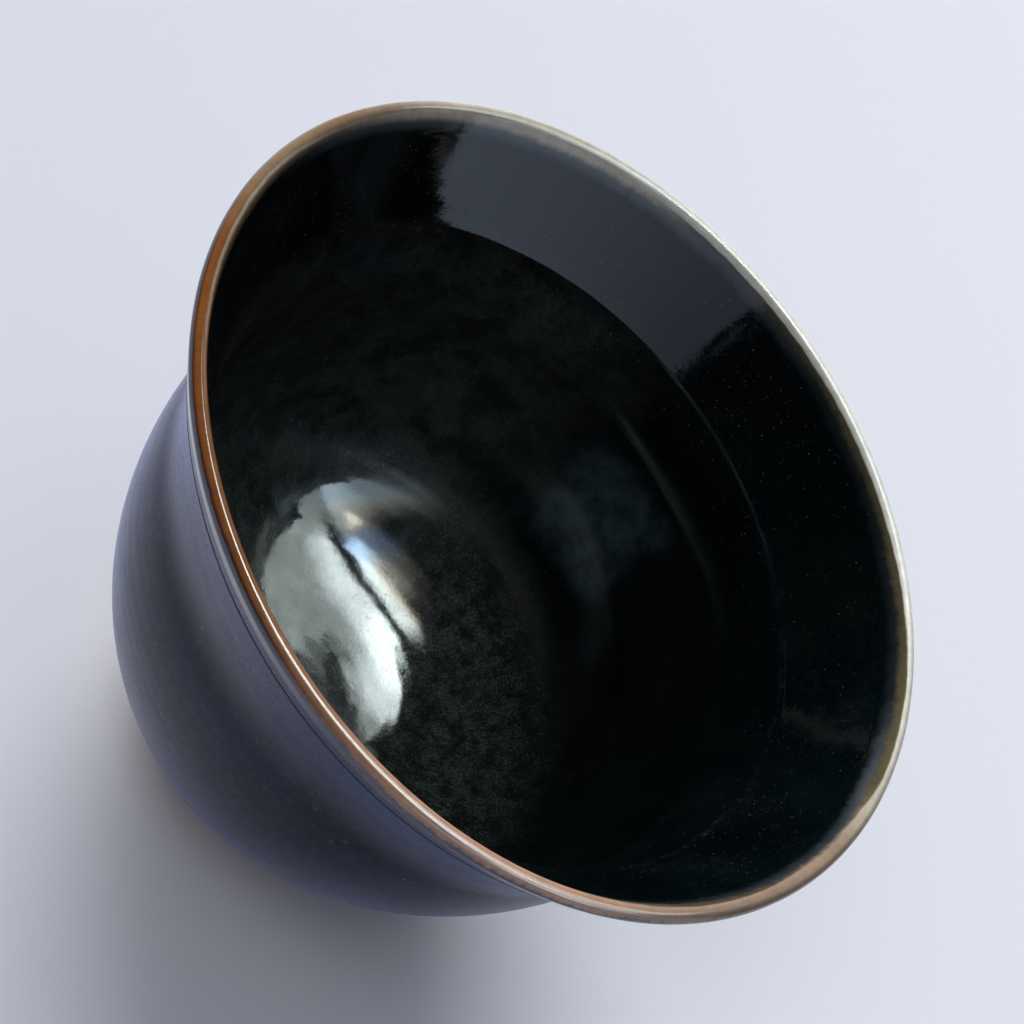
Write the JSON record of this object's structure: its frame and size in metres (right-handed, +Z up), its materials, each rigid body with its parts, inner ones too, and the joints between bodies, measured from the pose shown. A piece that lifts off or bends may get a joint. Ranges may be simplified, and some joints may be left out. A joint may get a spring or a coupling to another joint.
{
  "type": "ceramic bowl",
  "caption": "Deep round footed stoneware bowl with a flared lip, dark glazed inside and out with a brown lip, for food or drink.",
  "frame": {"origin": "centre of the foot ring's standing face", "axes": "+Z up along the axis on which the bowl was turned; X and Y are any two level directions, because the bowl is round"},
  "size_m": [0.126, 0.126, 0.088],
  "materials": {
    "stoneware": "bare fired stoneware, warm brown, matt and slightly gritty",
    "foot_stoneware": "bare fired stoneware, turned and worn smooth on the standing face",
    "outer_dark_glaze": "glossy slate-blue and black glaze with fine pale specks and throwing lines",
    "inner_black_glaze": "glossy near-black glaze with a green cast and pale pin-point specks",
    "brown_lip_glaze": "thin glossy rust-brown glaze that pales to olive and cream around the lip"
  },
  "bodies": {
    "root": {"clay_body": "stoneware", "foot_ring": "foot_stoneware", "outer_glaze": "outer_dark_glaze", "inner_glaze": "inner_black_glaze", "lip_glaze": "brown_lip_glaze"}
  },
  "joints": []
}
